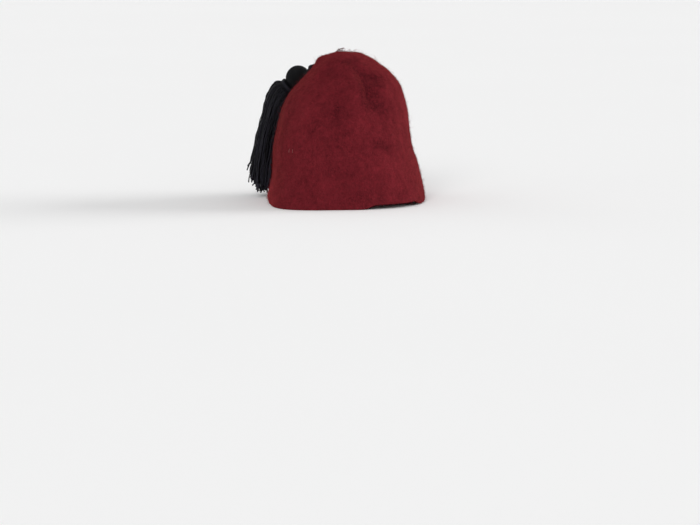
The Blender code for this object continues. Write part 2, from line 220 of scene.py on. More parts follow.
def hem_at(angles):
    """The edge's lift and push at angles in degrees, eased between the table's points."""
    table = np.array(HEM_POINTS, float)
    row = np.clip(np.searchsorted(table[:, 0], angles, side="right") - 1, 0, len(table) - 2)
    share = (angles - table[row, 0]) / (table[row + 1, 0] - table[row, 0])
    eased = share * share * (3 - 2 * share)
    return tuple(
        table[row, column] + eased * (table[row + 1, column] - table[row, column])
        for column in (1, 2)
    )


def outward(points):
    """Unit normals of a grid of rings: the cross product of its steps around and up."""
    along = np.gradient(points, axis=0)
    around = np.roll(points, -1, axis=1) - np.roll(points, 1, axis=1)
    normals = np.cross(around, along)
    normals[-1] = (0, 0, 1)
    return unit(normals)


def marks(points, angles, table):
    """The sum of a table's dents, each a bell curve across and along its own leaning line."""
    steps = np.linalg.norm(np.diff(points, axis=0), axis=2)
    climb = np.concatenate([np.zeros((1, points.shape[1])), np.cumsum(steps, axis=0)])
    reach = np.hypot(points[..., 0], points[..., 1])
    depth = np.zeros(climb.shape)
    for dent in table:
        turn = np.radians((angles - dent.angle + 180) % 360 - 180)
        right, high = reach * turn, climb - dent.climb
        lean = math.radians(dent.lean)
        across = right * math.cos(lean) + high * math.sin(lean)
        along = high * math.cos(lean) - right * math.sin(lean)
        flank = np.where(across < 0, dent.steep, dent.width)
        depth += dent.depth * np.exp(-((across / flank) ** 2) - (along / dent.length) ** 2)
    return depth, climb


def crown_outside(columns, rings):
    """The outer face of the felt as a grid of rings from the rim to the peak: at each
    height a rounded oval, |x/a|^n + |y/b|^n = 1, moved by the hem and the dents.
    With it comes the painted shade and wear of each point."""
    up, left, right, front, back, fore, aft = (
        column[:, None] for column in crown_profile(even_rows(rings))
    )
    angles = np.arange(columns) * 360.0 / columns
    turn = np.radians(angles)[None, :]
    half_width, half_depth = (left + right) / 2, (front + back) / 2
    squareness = aft + (fore - aft) * (1 - np.sin(turn)) / 2
    shape = np.abs(np.cos(turn)) ** squareness * np.maximum(half_depth, 1e-6) ** squareness
    shape = shape + np.abs(np.sin(turn)) ** squareness * np.maximum(half_width, 1e-6) ** squareness
    reach = half_width * half_depth / shape ** (1 / squareness)
    lift, push = hem_at(angles)
    fade = np.clip(1 - up / HEM_FADE, 0, 1) ** 2
    reach = reach + push * fade
    points = np.stack(
        [
            (right - left) / 2 + reach * np.cos(turn),
            (back - front) / 2 + reach * np.sin(turn),
            up + lift * fade,
        ],
        axis=2,
    )
    shade_and_wear, climb = marks(points, angles, PAINTED_SHADE_AND_WEAR)
    depth = marks(points, angles, DENTS)[0] * np.clip(climb / EDGE_HELD, 0, 1)
    return points - outward(points) * depth[..., None], shade_and_wear


def swell(places, apart, seed):
    """An uneven field of about -1 to 1: a sum of plane waves of random direction and
    phase, whose crests are about that far apart."""
    draw = np.random.default_rng(seed)
    ways = unit(draw.normal(size=(SWELL_WAVES, 3)))
    ways *= 2 * math.pi / apart * draw.uniform(0.6, 1.4, (SWELL_WAVES, 1))
    phases = draw.uniform(0, 2 * math.pi, SWELL_WAVES)
    total = sum(np.sin(places @ way + phase) for way, phase in zip(ways, phases))
    return total / math.sqrt(SWELL_WAVES)


def uneven_felt(points):
    """The outer face with the felt's swells on it, which fade at the cut edge and the peak."""
    high = sum(size.high * swell(points, size.apart, size.seed) for size in FELT_SWELLS)
    row = np.arange(len(points))[:, None]
    held = np.clip(row / SWELL_FREE[0], 0, 1) * np.clip((row[-1] - row) / SWELL_FREE[1], 0, 1)
    return points + outward(points) * (high * held)[..., None]


def eased_edge(points):
    """The rings near the cut edge, drawn up a little to leave room for its rounding."""
    above = points[..., 2] - points[:1, :, 2]
    raised = points.copy()
    raised[..., 2] += EDGE_ROUNDING * np.clip(1 - above / EDGE_EASED, 0, 1) ** 2
    return raised


def cut_edge(outside, inside):
    """Rings round the thickness of the felt, from its inner to its outer face: half of
    a squared circle, so the edge is flat below and soft at both its corners."""
    turn = np.linspace(math.pi, 0, EDGE_RINGS + 2)[1:-1, None, None]
    over = np.sign(np.cos(turn)) * np.abs(np.cos(turn)) ** 0.5
    ring = (outside + inside) / 2 + (outside - inside) / 2 * over
    ring[..., 2] -= EDGE_ROUNDING * np.sin(turn[..., 0]) ** 0.5
    return ring


def grid_faces(rings, columns):
    """The four-sided faces of a grid of rings that closes round its columns."""
    index = np.arange(rings * columns).reshape(rings, columns)
    beside = np.roll(index, -1, axis=1)
    return np.stack([index[:-1], beside[:-1], beside[1:], index[1:]], axis=2).reshape(-1, 4)


def pole_faces(rings, columns):
    """The three-sided faces that close such a grid at its first and its last ring, by
    two poles numbered after its points."""
    column = np.arange(columns)
    beside = np.roll(column, -1)
    end = (rings - 1) * columns
    pole = np.full(columns, rings * columns)
    first = np.stack([beside, column, pole], axis=1)
    last = np.stack([end + column, end + beside, pole + 1], axis=1)
    return np.concatenate([first, last])


def closed_grid(rings, first_pole, last_pole):
    """Points and faces of a grid of rings that is closed by a pole at each end."""
    points = np.concatenate([rings.reshape(-1, 3), [first_pole, last_pole]])
    size = rings.shape[:2]
    return points, [grid_faces(*size), pole_faces(*size)]


SHADE_MAP = "OFBake"  # a hair's or thread's shade runs across it, and its length up it


def add_object(name, data):
    """An object in the scene that shows this mesh, light or camera."""
    thing = bpy.data.objects.new(name, data)
    bpy.context.scene.collection.objects.link(thing)
    return thing


def add_mesh(name, points, faces, material, slot, shades=None):
    """A smooth mesh piece from points in millimetres and groups of equal-sided faces.
    shades are the places of the faces' corners on the piece's own map."""
    mesh = bpy.data.meshes.new(name)
    corners = np.concatenate([group.ravel() for group in faces]).astype(np.int32)
    sizes = np.concatenate([np.full(len(group), group.shape[1]) for group in faces])
    mesh.vertices.add(len(points))
    mesh.vertices.foreach_set("co", (np.asarray(points) * METRES).ravel())
    mesh.loops.add(len(corners))
    mesh.loops.foreach_set("vertex_index", corners)
    mesh.polygons.add(len(sizes))
    mesh.polygons.foreach_set("loop_start", (np.cumsum(sizes) - sizes).astype(np.int32))
    mesh.update(calc_edges=True)
    mesh.shade_smooth()
    if shades is not None:
        layer = mesh.uv_layers.new(name=SHADE_MAP)
        layer.uv.foreach_set("vector", shades.astype(np.float32).ravel())
    mesh.materials.append(material)
    piece = add_object(name, mesh)
    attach(piece, "root")
    return piece


def linear(code):
    """A colour given in sRGB hex digits, as linear values and an alpha of 1."""
    share = np.array([int(code[place:place + 2], 16) / 255 for place in (0, 2, 4)])
    light = np.where(share <= 0.04045, share / 12.92, ((share + 0.055) / 1.055) ** 2.4)
    return (*light.tolist(), 1.0)


def per_metre(millimetres):
    """The scale of a pattern whose features are that many millimetres across."""
    return 1 / (millimetres * METRES)


def add_node(material, kind, sockets=(), **settings):
    """Adds a node with its settings, and gives its sockets values or other nodes' outputs."""
    node = material.node_tree.nodes.new(kind)
    for name, value in settings.items():
        setattr(node, name, value)
    for socket, value in dict(sockets).items():
        if isinstance(value, bpy.types.NodeSocket):
            material.node_tree.links.new(value, node.inputs[socket])
        else:
            node.inputs[socket].default_value = value
    return node


def new_material(name, sockets):
    """A material whose Principled shader has these values on its own sockets."""
    material = bpy.data.materials.new(name)
    material.use_nodes = True
    shader = material.node_tree.nodes["Principled BSDF"]
    for socket, value in sockets.items():
        shader.inputs[socket].default_value = value
    return material


def finished(material, colour, normal=None):
    """The material, with that colour and that surface linked to its shader."""
    shader = material.node_tree.nodes["Principled BSDF"]
    material.node_tree.links.new(colour, shader.inputs["Base Color"])
    if normal is not None:
        material.node_tree.links.new(normal, shader.inputs["Normal"])
    return material


# Fulled wool felt, dyed in the piece: a dull crimson that mottles where the
# fibres mat together, drawn into short streaks, with a soft bloom at its edges.
FELT_DEEP = "400D14"
FELT_RED = "671B23"
FELT_PALE = "7E2830"
MOTTLE_SIZE = 6.5
STREAK_WIDTH = 1.3
STREAK_LENGTH = 5.0
FIBRE_SIZE = 0.55
PIT_DEPTH = 0.45
# the attribute of painted shade and wear that darkens the felt and its nap
SHADE_AND_WEAR_ATTRIBUTE = "shade_and_wear"
WOOL_BLOOM = {
    "Sheen Weight": 0.24,
    "Sheen Roughness": 0.4,
    "Sheen Tint": linear("E6584C"),
}


def crimson_felt():
    """The mottle picks from deep to dull red, deeper where the painted shade and wear
    mark it and paler where they paint light, and the streaks lie over it paler.
    Fibres and streaks together make the bump."""
    sockets = {"Roughness": 0.97, "Specular IOR Level": 0.04, **WOOL_BLOOM}
    material = new_material("fulled crimson wool felt", sockets)
    place = add_node(material, "ShaderNodeTexCoord").outputs["Object"]
    sockets = {"Vector": place, "Scale": (1, 1, STREAK_WIDTH / STREAK_LENGTH)}
    drawn = add_node(material, "ShaderNodeMapping", sockets).outputs["Vector"]
    patterns = []
    for vector, size, detail, roughness, distortion in (
        (place, MOTTLE_SIZE, 4, 0.62, 0.5),
        (drawn, STREAK_WIDTH, 3, 0.60, 1.6),
        (place, FIBRE_SIZE, 3, 0.70, 0.8),
    ):
        sockets = {
            "Vector": vector,
            "Scale": per_metre(size),
            "Detail": detail,
            "Roughness": roughness,
            "Distortion": distortion,
        }
        patterns.append(add_node(material, "ShaderNodeTexNoise", sockets).outputs["Fac"])
    mottle, streak, fibre = patterns
    sockets = {"Value": mottle, "From Min": 0.34, "From Max": 0.66, "To Min": 0.35}
    matted = add_node(material, "ShaderNodeMapRange", sockets).outputs["Result"]
    sockets = {"Value": streak, "From Min": 0.42, "From Max": 0.78, "To Max": 0.85}
    raised = add_node(material, "ShaderNodeMapRange", sockets).outputs["Result"]
    # painted shade in the creases and dents darkens the felt, and painted light below 0 makes it
    # paler
    sockets = {0: matted}
    sockets[1] = add_node(material, "ShaderNodeAttribute", attribute_name=SHADE_AND_WEAR_ATTRIBUTE).outputs["Fac"]
    kept = add_node(material, "ShaderNodeMath", sockets, operation="SUBTRACT", use_clamp=True)
    # A Mix node's colours are its sockets 6 and 7, and its result is its output 2.
    sockets = {0: kept.outputs[0], 6: linear(FELT_DEEP), 7: linear(FELT_RED)}
    ground = add_node(material, "ShaderNodeMix", sockets, data_type="RGBA").outputs[2]
    sockets = {0: raised, 6: ground, 7: linear(FELT_PALE)}
    colour = add_node(material, "ShaderNodeMix", sockets, data_type="RGBA").outputs[2]
    height = add_node(material, "ShaderNodeMath", {0: fibre, 1: streak}, operation="ADD")
    sockets = {"Height": height.outputs[0], "Strength": 0.7, "Distance": PIT_DEPTH * METRES}
    bump = add_node(material, "ShaderNodeBump", sockets)
    return finished(material, colour, bump.outputs["Normal"])


# with the outer face comes its painted shade and wear
felt_face, felt_shade_and_wear = crown_outside(CROWN_COLUMNS, OUTER_RINGS)
felt_face = uneven_felt(felt_face)
lining_face = crown_outside(CROWN_COLUMNS, INNER_RINGS)[0]
wall_normals = outward(lining_face)
wall_normals[0, :, 2] = 0
wall_normals[0] = unit(wall_normals[0])
lining_face = lining_face - wall_normals * FELT_THICKNESS
felt_face, lining_face = eased_edge(felt_face), eased_edge(lining_face)
felt_rings = np.concatenate(
    [lining_face[-2::-1], cut_edge(felt_face[0], lining_face[0]), felt_face[:-1]]
)
felt_grid = closed_grid(felt_rings, lining_face[-1, 0], felt_face[-1, 0])
crown = add_mesh("felt_crown", *felt_grid, crimson_felt(), "felt")
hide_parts("crown")
# The lining and the cut edge get none of the painted shade and wear.
unmarked_inside = np.zeros((INNER_RINGS + EDGE_RINGS) * CROWN_COLUMNS)
shade_and_wear_values = np.concatenate([unmarked_inside, felt_shade_and_wear[:-1].ravel(), [0, felt_shade_and_wear[-1, 0]]])
shade_and_wear_layer = crown.data.attributes.new(SHADE_AND_WEAR_ATTRIBUTE, "FLOAT", "POINT")
shade_and_wear_layer.data.foreach_set("value", shade_and_wear_values.astype(np.float32))

# The nap
# Wool fibres that stand off the felt: a dense short nap brushed down the wall
# in wavy tufts, and longer loose hairs that catch the light at the outline.
SHADES = 32  # columns of shade on the map of a piece with hairs or threads
MAP_ENDS = (0.02, 0.98)  # how far up the map a piece's length runs
BRUSHED_WAVE = 13.0
BRUSHED_TURN = 0.8  # how far the wave turns the nap aside, in radians
BRUSHED_SEED = 31
Nap = namedtuple("Nap", "name count length width standing curl steps scatter seed first_ring tone")
NAPS = (
    # Real fibres are 0.03 mm thick, too fine to show, so each of these is a small tuft
    Nap("short_nap", 62000, (1.6, 3.6), (0.16, 0.34), (0.15, 0.6), 2.0, 3, 0.4, 3, 0, 0.40),
    # The paler tones of the loose and stray hairs are painted light, for the glow of wool fibres
    # lit from behind
    Nap("loose_hairs", 17000, (3.0, 6.5), (0.10, 0.20), (0.4, 1.9), 7.0, 7, 0.9, 5, 0, 0.46),
    Nap("stray_hairs", 500, (6.0, 12.0), (0.12, 0.22), (2.0, 4.2), 7.0, 10, 2.6, 7, 0, 0.55),
    Nap("peak_wisps", 14, (6.0, 11.0), (0.38, 0.62), (1.8, 4.0), 2.4, 10, 2.6, 8, 166, 0.40),
)
# How much the nap's shade changes from patch to patch: how far apart the patches
# are, their width as a share of their height, and the share of all the shades
Patch = namedtuple("Patch", "apart drawn share seed")
PATCHES = (
    Patch(4.2, 0.30, 0.025, 37),
    Patch(9.0, 0.45, 0.032, 38),
    Patch(24.0, 0.75, 0.055, 39),
)
TONE_SPREAD = 0.13  # from hair to hair
CURL_SWING = 0.22  # of a hair's length
TIP_LIFTED = 0.55  # of the height that it stands
TIP_NARROWED = 0.55  # of its width
ROOT_DEPTH = 0.1
LEAST_HEIGHT = 0.2  # off the floor
# how far the painted shade and wear darken the nap's tone
SHADE_AND_WEAR_TONE = 0.42
CRUSHED_FLAT = 0.6


def scattered(rings, shade_and_wear, count, draw):
    """Places spread evenly over a grid of rings, with the normal, the way up the wall
    and the painted shade and wear at each: cells are drawn by area, then a point is drawn in the
    cell."""
    normals = outward(rings)
    up = np.diff(rings, axis=0)
    around = (np.roll(rings, -1, axis=1) - rings)[:-1]
    area = np.linalg.norm(np.cross(around, up), axis=2).ravel().cumsum()
    cell = np.searchsorted(area, draw.uniform(0, area[-1], count))
    row, column = np.divmod(cell, rings.shape[1])
    beside = (column + 1) % rings.shape[1]
    high, over = draw.random((2, count, 1))

    def between(grid):
        low = grid[row, column] * (1 - over) + grid[row, beside] * over
        top = grid[row + 1, column] * (1 - over) + grid[row + 1, beside] * over
        return low * (1 - high) + top * high

    climb = unit(up[row, column])
    return between(rings), unit(between(normals)), climb, between(shade_and_wear[..., None])[:, 0]


def hairs(roots, normals, ways, lengths, widths, standing, curls, starts, steps):
    """Flat tapering hairs as points and faces. Each runs along its way, swings aside
    as a sine of its curl, and rises off the wall and sinks back as sin(pi s^0.8)."""
    count = len(roots)
    side = np.cross(normals, ways)
    s = np.linspace(0, 1, steps)[None, :, None]
    length, rise, curl, start = (
        column[:, None, None] for column in (lengths, standing, curls, starts)
    )
    aside = length * CURL_SWING * (np.sin(curl * s + start) - np.sin(start))
    rising = rise * (np.sin(math.pi * s**0.8) + TIP_LIFTED * s**2)
    middle = roots[:, None] + ways[:, None] * length * s + side[:, None] * aside
    middle = middle + normals[:, None] * (rising - ROOT_DEPTH)
    half = side[:, None] * widths[:, None, None] / 2 * (1 - TIP_NARROWED * s)
    pairs = np.stack([middle - half, middle + half], axis=2)[:, :-1]
    points = np.concatenate([pairs.reshape(count, -1, 3), middle[:, -1:]], axis=1)
    points[..., 2] = np.maximum(points[..., 2], LEAST_HEIGHT)
    first = np.arange(count)[:, None] * points.shape[1]
    low = 2 * np.arange(steps - 2)
    quads = np.stack([low, low + 1, low + 3, low + 2], axis=1)
    tips = np.array([[2 * steps - 4, 2 * steps - 3, 2 * steps - 2]])
    faces = [(first[..., None] + group).reshape(-1, group.shape[1]) for group in (quads, tips)]
    return points.reshape(-1, 3), faces


def map_corners(*places):
    """Corners on the map as rows, from the place across and the place up of each
    corner of a face in turn."""
    return np.stack(np.broadcast_arrays(*places), axis=-1).reshape(-1, 2)


def hair_map(steps, shades):
    """The map's corners of those faces: across is the hair's shade, up is its length."""
    left, right = (shades[:, None] + 0.2) / SHADES, (shades[:, None] + 0.8) / SHADES
    up = np.linspace(*MAP_ENDS, steps)
    low, high, tip = up[:-2], up[1:-1], up[-1]
    bands = map_corners(left, low, right, low, right, high, left, high)
    tips = map_corners(left, high[-1], right, high[-1], (left + right) / 2, tip)
    return np.concatenate([bands, tips])


# Wool fibres, dyed with the felt, each tuft a little off its neighbour: painted
# shade makes them deep crimson at the root, where they lie in each other's shade,
# and they are paler at the tip.
NAP_DEEP = "380A11"
NAP_PALE = "A43841"


def map_places(material):
    """The place on the piece's own map, and its parts across and up."""
    place = add_node(material, "ShaderNodeUVMap", uv_map=SHADE_MAP).outputs["UV"]
    parts = add_node(material, "ShaderNodeSeparateXYZ", {0: place}).outputs
    return place, parts["X"], parts["Y"]


def brightened(material, colour, up, low, high):
    """The colour times a factor that runs from low to high up the map."""
    factor = add_node(material, "ShaderNodeMapRange", {"Value": up, "To Min": low, "To Max": high})
    sockets = {0: colour, "Scale": factor.outputs["Result"]}
    return add_node(material, "ShaderNodeVectorMath", sockets, operation="SCALE").outputs["Vector"]


def wool_nap():
    """The tone runs across the map, and the hair grows lighter up it, from painted shade at its
    root.
    """
    sockets = {"Roughness": 0.92, "Specular IOR Level": 0.03, **WOOL_BLOOM}
    material = new_material("brushed wool nap", sockets)
    _, across, up = map_places(material)
    sockets = {0: across, 6: linear(NAP_DEEP), 7: linear(NAP_PALE)}
    dyed = add_node(material, "ShaderNodeMix", sockets, data_type="RGBA").outputs[2]
    # painted shade: each hair darker at its root
    return finished(material, brightened(material, dyed, up, 0.62, 1.05))


def add_nap(nap, material):
    """Hairs over the whole outer face, brushed down the wall along wavy lines, flatter
    where the painted shade and wear mark the felt, and darker there as painted shade."""
    draw = np.random.default_rng(nap.seed)
    first = nap.first_ring
    roots, normals, climb, shade_and_wear = scattered(felt_face[first:], felt_shade_and_wear[first:], nap.count, draw)
    aside = np.cross(normals, climb)
    turn = BRUSHED_TURN * swell(roots, BRUSHED_WAVE, BRUSHED_SEED)
    turn = turn + draw.normal(0, nap.scatter, nap.count)
    ways = aside * np.sin(turn)[:, None] - climb * np.cos(turn)[:, None]
    length = draw.uniform(*nap.length, nap.count)
    # painted shade darkens the tone in the creases and dents, and painted light raises it
    tone = nap.tone + draw.normal(0, TONE_SPREAD, nap.count) - SHADE_AND_WEAR_TONE * shade_and_wear
    for patch in PATCHES:
        tone += patch.share * swell(roots * (1, 1, patch.drawn), patch.apart, patch.seed)
    shades = np.floor(np.clip(tone, 0, 0.999) * SHADES)
    standing = draw.uniform(*nap.standing, nap.count) * (1 - CRUSHED_FLAT * np.clip(shade_and_wear, 0, 1))
    points, faces = hairs(
        roots,
        normals,
        ways,
        length,
        draw.uniform(*nap.width, nap.count),
        standing,
        draw.uniform(1.0, nap.curl, nap.count),
        draw.uniform(0, 2 * math.pi, nap.count),
        nap.steps,
    )
    return add_mesh(nap.name, points, faces, material, "felt", hair_map(nap.steps, shades))


nap_wool = wool_nap()
for nap in NAPS:
    add_nap(nap, nap_wool)

# The peak's tuft
# A few thick wisps of the felt's own wool that have pulled loose beside the
# peak. They stand on edge and arch over it, in the shade of the felt's deeper red.
TUFT_SHADE = 0.05
SINGLE_HAIR_STEPS = 8
SingleHair = namedtuple("SingleHair", "angle climb turn length width standing curl start")
PEAK_TUFT = (
    SingleHair(160, 189.5, 258, 9.4, 1.15, 0.6, 2.7, 0.0),
    SingleHair(146, 193.0, 262, 5.4, 0.80, 0.5, 2.0, 0.2),
    SingleHair(166, 188.0, 250, 4.8, 1.00, 0.8, 2.2, 0.3),
)


def add_single_hairs(name, table, shade, material, upright=False):
    """A hair at each row of a table, rooted at the nearest point of the felt's grid.
    It lies flat on the felt, or stands upright with its flat side to the front."""
    angle, climb, turned, length, width, standing, curl, start = np.array(table, float).T
    columns = np.round(angle * CROWN_COLUMNS / 360).astype(int) % CROWN_COLUMNS
    climbs = marks(felt_face, np.zeros(CROWN_COLUMNS), ())[1][:, columns]
    rows = np.abs(climbs - climb).argmin(axis=0)
    roots, normals = felt_face[rows, columns], outward(felt_face)[rows, columns]
    up = unit(felt_face[rows + 1, columns] - roots)
    if upright:
        normals, up = np.full_like(roots, (0, -1, 0)), np.full_like(roots, (0, 0, 1))
    turn = np.radians(turned)[:, None]
    ways = np.cross(normals, up) * np.sin(turn) - up * np.cos(turn)
    steps = SINGLE_HAIR_STEPS
    points, faces = hairs(roots, normals, ways, length, width, standing, curl, start, steps)
    shades = hair_map(steps, np.full(len(table), shade * SHADES))
    return add_mesh(name, points, faces, material, "felt", shades)


add_single_hairs("peak_tuft", PEAK_TUFT, TUFT_SHADE, nap_wool, upright=True)

# The kemp hairs
# A few short, stiff hairs in the wool that took no dye. They lie down the wall,
# caught under the nap at their upper ends.
KEMP_PALE = "C9968F"
KEMP_ROSE = "A5605F"
KEMP_SHADE = 0.5
KEMPS = (
    SingleHair(233.4, 64.3, 3, 5.0, 0.5, 0.9, 1.6, 0.0),
    SingleHair(230.2, 63.6, -7, 4.2, 0.5, 0.9, 1.35, 2.4),
    SingleHair(160.0, 52.0, -30, 3.6, 0.5, 0.9, 1.1, 4.8),
    SingleHair(112.0, 98.0, 12, 3.2, 0.5, 0.9, 0.85, 7.2),
    SingleHair(31.0, 112.0, 40, 3.0, 0.5, 0.9, 0.6, 9.6),
)


def undyed_kemp():
    """Chalky pale fibre, pinker towards its root: the shade runs up the map."""
    sockets = {"Roughness": 0.7, "Specular IOR Level": 0.2}
    material = new_material("undyed kemp fibre", sockets)
    up = map_places(material)[2]
    sockets = {0: up, 6: linear(KEMP_ROSE), 7: linear(KEMP_PALE)}
    colour = add_node(material, "ShaderNodeMix", sockets, data_type="RGBA").outputs[2]
    return finished(material, colour)


add_single_hairs("kemp_hairs", KEMPS, KEMP_SHADE, undyed_kemp())

# The button
# A small padded button that the cord is sewn to, wound from its middle to its
# foot with black thread. It sits behind the peak of the crown.
BUTTON_SEAT = np.array([-1.0, 22.5, 150.3758])  # a point of the felt's outer face
BUTTON_AXIS = np.array([-0.017115, 0.491622, 0.870640])  # square to the felt there
BUTTON_RADIUS = 5.5
BUTTON_HEIGHT = 4.4
BUTTON_SIDE = 0.35  # the share of its height that is its straight side
BUTTON_FOOT = 0.92  # of its radius
BUTTON_THREADS = 26
BUTTON_COLUMNS = 8  # grid columns to a thread
BUTTON_RINGS = 16
BUTTON_RIDGE = 0.32
BUTTON_SWIRL = 1.6  # thread widths
CLEARANCE = 0.35


def spokes(axis, turns):
    """Unit vectors square to an axis, at angles round it."""
    side = unit(np.cross(axis, (0, 0, 1)))
    other = np.cross(axis, side)
    return side * np.cos(turns)[..., None] + other * np.sin(turns)[..., None]


def ridges(phase):
    """The outline of threads laid side by side: half a circle over each whole phase."""
    return np.sqrt(np.clip(1 - (2 * (phase % 1) - 1) ** 2, 0, 1))


# Mercerised cotton and rayon thread, dyed black, with a soft gleam along each
# thread; on the cord, painted shade makes it nearly black in its grooves.
THREAD_BLACK = "050507"
THREAD_GREY = "27262F"
WOUND_SHADED_GREY = "0B0B0E"
THREAD_MOTTLE = 2.2
THREAD_FIBRE = 0.35
FIBRE_DEPTH = 0.15


def black_thread(name, gloss):
    """Black thread, still without its colour. The lower its number, the glossier."""
    sockets = {
        "Roughness": gloss,
        "Specular IOR Level": 0.10,
        "Sheen Weight": 0.02,
        "Sheen Roughness": 0.4,
    }
    return new_material(name, sockets)


def wound_thread():
    """Thread on a piece whose ridges are modelled, so it needs only its shade."""
    material = black_thread("black thread laid side by side", 0.5)
    place = add_node(material, "ShaderNodeTexCoord").outputs["Object"]
    sockets = {"Vector": place, "Scale": per_metre(THREAD_MOTTLE), "Detail": 3, "Roughness": 0.6}
    uneven = add_node(material, "ShaderNodeTexNoise", sockets).outputs["Fac"]
    # painted shade: a grey darker than the hanging thread's, on the ball, the button and the core
    sockets = {0: uneven, 6: linear(THREAD_BLACK), 7: linear(WOUND_SHADED_GREY)}
    colour = add_node(material, "ShaderNodeMix", sockets, data_type="RGBA").outputs[2]
    sockets = {"Vector": place, "Scale": per_metre(THREAD_FIBRE), "Detail": 2, "Roughness": 0.6}
    fine = add_node(material, "ShaderNodeTexNoise", sockets).outputs["Fac"]
    sockets = {"Height": fine, "Strength": 0.5, "Distance": FIBRE_DEPTH * METRES}
    bump = add_node(material, "ShaderNodeBump", sockets)
    return finished(material, colour, bump.outputs["Normal"])


laid_thread = wound_thread()
button_foot = BUTTON_SEAT + BUTTON_AXIS * CLEARANCE


def add_button():
    """A dome over a narrower foot, ridged by threads that swirl out from its middle."""
    turns = np.linspace(0, 2 * math.pi, BUTTON_THREADS * BUTTON_COLUMNS, endpoint=False)
    level = np.linspace(0, math.pi / 2, BUTTON_RINGS)[:-1]
    dome = BUTTON_SIDE + (1 - BUTTON_SIDE) * np.sin(level)
    reach = BUTTON_RADIUS * np.array([BUTTON_FOOT, *np.sqrt(np.cos(level))])[:, None]
    height = BUTTON_HEIGHT * np.array([0, *dome])[:, None]
    phase = turns * BUTTON_THREADS / (2 * math.pi) + BUTTON_SWIRL * height / BUTTON_HEIGHT
    sunk = BUTTON_RIDGE * (1 - ridges(phase)) * np.clip(reach / BUTTON_RADIUS, 0, 1)
    rings = (
        button_foot
        + spokes(BUTTON_AXIS, turns) * (reach - sunk)[..., None]
        + BUTTON_AXIS * (height - sunk * height / BUTTON_HEIGHT)[..., None]
    )
    grid = closed_grid(rings, button_foot, button_foot + BUTTON_AXIS * BUTTON_HEIGHT)
    button = add_mesh("wound_button", *grid, laid_thread, "button_thread")
    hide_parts("top_button")


add_button()

# The cord
# A short three-ply twisted cord, 4.6 mm across, sewn under the button. It lies
# over the felt beside it, and the tassel's weight draws it nearly straight.
CORD_DIAMETER = 4.6
CORD_PLIES = 3
CORD_LAY = 11.0  # the length of cord in which a ply goes once round
YARN_SPACING = 1.009  # round the cord
YARN_DEPTH = 0.25
WAVE_BAND = math.pi / 5  # the scale of a Wave node whose bands lie one unit apart
CORD_RINGS = 97
CORD_COLUMNS = 48
CORD_POINTS = (
    (-6.79, 26.97, 150.36),
    (-15.25, 30.48, 145.83),
    (-23.72, 35.12, 142.44),
    (-31.80, 40.40, 139.90),
    (-36.70, 42.60, 138.30),
    (-38.60, 43.60, 133.20),
)


def twisted_cord_thread():
    """Plies of fine yarn: lines run along the map, leaning across each ply."""
    material = black_thread("black three-ply twisted cord", 0.46)
    sockets = {
        "Vector": map_places(material)[0],
        "Scale": WAVE_BAND * math.pi * CORD_DIAMETER / YARN_SPACING,
        "Distortion": 1.2,
        "Detail": 2,
        "Detail Scale": 2.0,
    }
    wave = add_node(material, "ShaderNodeTexWave", sockets, bands_direction="DIAGONAL")
    yarn_ridges_and_shade = wave.outputs["Fac"]
    # painted shade in the grooves between the yarns, and paler colour on their crests
    sockets = {0: yarn_ridges_and_shade, 6: linear(THREAD_BLACK), 7: linear(THREAD_GREY)}
    colour = add_node(material, "ShaderNodeMix", sockets, data_type="RGBA").outputs[2]
    sockets = {"Height": yarn_ridges_and_shade, "Strength": 0.6, "Distance": YARN_DEPTH * METRES}
    bump = add_node(material, "ShaderNodeBump", sockets)
    return finished(material, colour, bump.outputs["Normal"])


def tube_map(rings, columns):
    """The map's corners of a closed tube's faces, for its grid and then its poles:
    across is the way round it, up is its length."""
    column = np.arange(columns)
    left, right = column / columns, (column + 1) / columns
    middle, (first, last) = (left + right) / 2, MAP_ENDS
    up = np.linspace(first, last, rings)[:, None]
    low, high = up[:-1], up[1:]
    grid = map_corners(left, low, right, low, right, high, left, high)
    first_pole = map_corners(right, first, left, first, middle, 0)
    last_pole = map_corners(left, last, right, last, middle, 1)
    return grid, np.concatenate([first_pole, last_pole])


def ringed(middle, side, other, reach, turn):
    """Points at a reach from the middle, turned from one direction to the other."""
    right, up = reach * np.cos(turn), reach * np.sin(turn)
    return middle + side * right[..., None] + other * up[..., None]


def add_cord():
    """A tube whose section is three touching circles, turned by its lay along the path:
    r = a cos d + sqrt(p^2 - a^2 sin^2 d), d being the angle from the nearest ply."""
    guides = np.array(CORD_POINTS)
    at = np.linspace(0, len(guides) - 1, CORD_RINGS)
    path = np.stack([spline(column, at) for column in guides.T], axis=1)
    along = unit(np.gradient(path, axis=0))
    side = unit(np.cross(along, (0, 0, 1)))
    walked = np.concatenate([[0], np.cumsum(np.linalg.norm(np.diff(path, axis=0), axis=1))])
    ply = CORD_DIAMETER / 2 / (1 + 2 / math.sqrt(3))
    apart = ply * 2 / math.sqrt(3)
    around = np.linspace(0, 2 * math.pi, CORD_COLUMNS, endpoint=False)
    third = 2 * math.pi / CORD_PLIES
    off = (around + third / 2) % third - third / 2
    reach = apart * np.cos(off) + np.sqrt(np.maximum(ply**2 - (apart * np.sin(off)) ** 2, 0))
    turn = around + 2 * math.pi * walked[:, None] / CORD_LAY
    other = np.cross(side, along)
    rings = ringed(path[:, None], side[:, None], other[:, None], reach, turn)
    points, faces = closed_grid(rings[::-1], path[-1], path[0])
    places = np.concatenate(tube_map(CORD_RINGS, CORD_COLUMNS)) * (1, -1) + (0, 1)
    piece = add_mesh("twisted_cord", points, faces, twisted_cord_thread(), "twisted_cord", places)
    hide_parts("tassel_cord")
    return piece, path, walked[-1]


cord, cord_path, cord_length = add_cord()

